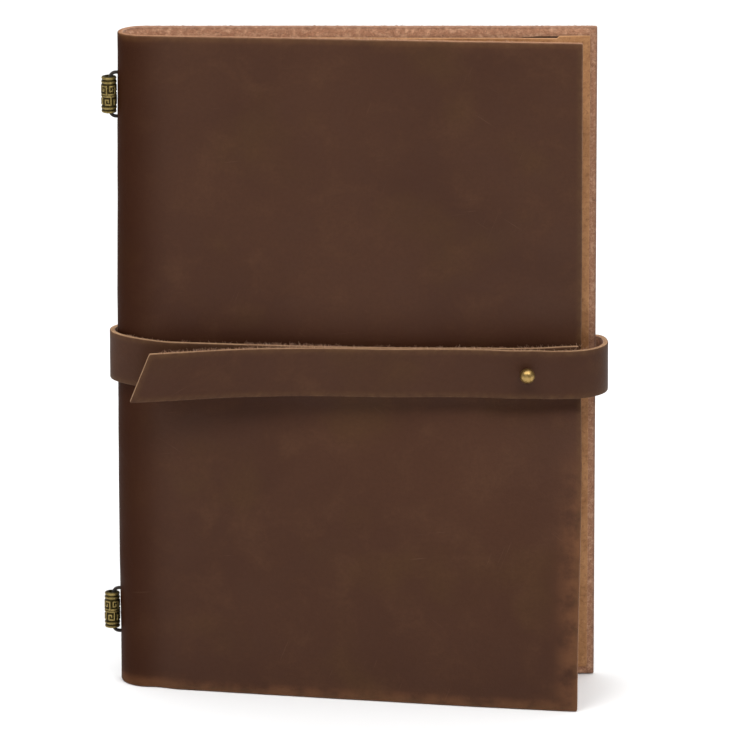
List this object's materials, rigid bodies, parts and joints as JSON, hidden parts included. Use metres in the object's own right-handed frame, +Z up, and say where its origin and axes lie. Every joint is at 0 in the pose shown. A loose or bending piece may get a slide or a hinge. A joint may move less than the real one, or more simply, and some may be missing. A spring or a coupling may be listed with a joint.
{
  "type": "leather notebook cover",
  "caption": "Folded thick-leather cover for notebook inserts, with inner pocket, beaded spine elastic and a wrap strap closed by a ball stud.",
  "frame": {"origin": "middle of the bounding box at the foot, on the surface the closed cover stands on", "axes": "+Z up along the spine, +X from the spine to the fore-edge, the front panel faces -Y"},
  "size_m": [0.1718, 0.045, 0.23],
  "materials": {
    "cover_leather": "oiled pull-up leather, dark brown matte grain outside, rough pinkish tan flesh side inside",
    "strap_leather": "the same oiled dark brown leather with pale cut edges",
    "pocket_leather": "smooth natural tan leather",
    "thread": "waxed thread",
    "elastic": "dark braided elastic cord",
    "antique_brass": "antique brass, dark in its recesses",
    "bright_brass": "satin brass"
  },
  "bodies": {
    "back": {"back_cover": "cover_leather", "inner_pocket": "pocket_leather", "pocket_stitching": "thread", "strap_back_run": "strap_leather"},
    "spine": {"spine_fold": "cover_leather", "spine_elastic": "elastic", "upper_bead": "antique_brass", "lower_bead": "antique_brass", "strap_spine_loop": "strap_leather"},
    "front": {"front_cover": "cover_leather", "strap_inner_tail": "strap_leather", "stud_ball": "bright_brass", "stud_screw": "bright_brass"},
    "fore_loop": {"strap_fore_loop": "strap_leather"},
    "outer_tail": {"strap_outer_tail": "strap_leather"}
  },
  "joints": [
    {"name": "cover_opening", "type": "hinge", "parent": "back", "child": "spine", "pos_m": [-0.07932, 0.01935, 0.115], "axis": [0, 0, -1], "range_deg": [0, 90]},
    {"name": "front_fold", "type": "hinge", "parent": "spine", "child": "front", "pos_m": [-0.07932, 0.00635, 0.115], "axis": [0, 0, -1], "range_deg": [0, 90]},
    {"name": "strap_unwrap", "type": "hinge", "parent": "back", "child": "fore_loop", "pos_m": [0.08218, 0.0191, 0.111], "axis": [0, 0, 1], "range_deg": [0, 90], "deforming": ["strap_fore_loop"]},
    {"name": "tail_unwrap", "type": "hinge", "parent": "fore_loop", "child": "outer_tail", "pos_m": [0.08218, 0.00485, 0.111], "axis": [0, 0, 1], "range_deg": [0, 90], "deforming": ["strap_outer_tail"]}
  ],
  "couplings": [
    {"joint": "front_fold", "follows": "cover_opening", "ratio": 1},
    {"joint": "strap_unwrap", "follows": "cover_opening", "ratio": 1},
    {"joint": "tail_unwrap", "follows": "cover_opening", "ratio": 1}
  ]
}
